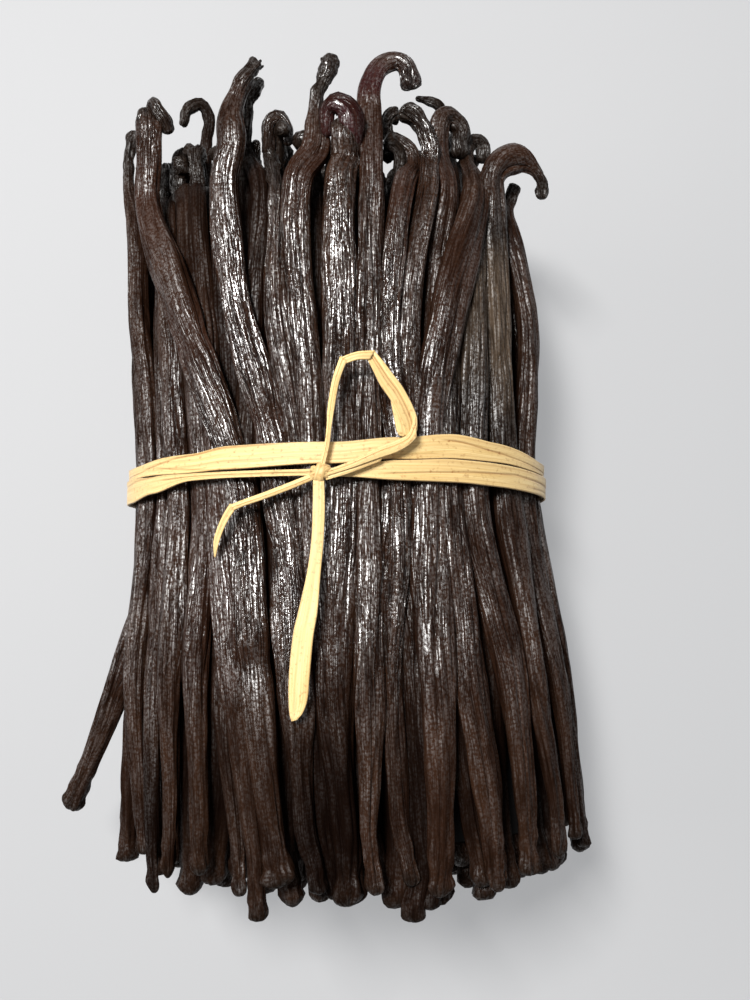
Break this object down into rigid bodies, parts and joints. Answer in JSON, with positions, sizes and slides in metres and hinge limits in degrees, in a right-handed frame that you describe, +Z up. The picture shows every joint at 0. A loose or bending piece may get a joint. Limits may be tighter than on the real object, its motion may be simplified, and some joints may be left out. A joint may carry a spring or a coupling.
{
  "type": "bundle of vanilla pods",
  "caption": "Bundle of long wrinkled vanilla pods with curled stem tips, tied round the waist with a knotted raffia strip, lying on its underside.",
  "frame": {"origin": "centre of the overall box's bottom face, on the floor that the bundle rests on", "axes": "+Y along the pods from the blunt ends to the curled stem tips, +X across the bundle to the side of the light brown pods, +Z up"},
  "size_m": [0.1242, 0.1824, 0.0755],
  "materials": {
    "vanilla_pod": "oily, finely wrinkled lengthwise",
    "raffia": "dry, lengthwise fibres, slight sheen"
  },
  "bodies": {
    "root": {"pod_bundle": "vanilla_pod", "raffia_tie": "raffia"}
  },
  "joints": []
}
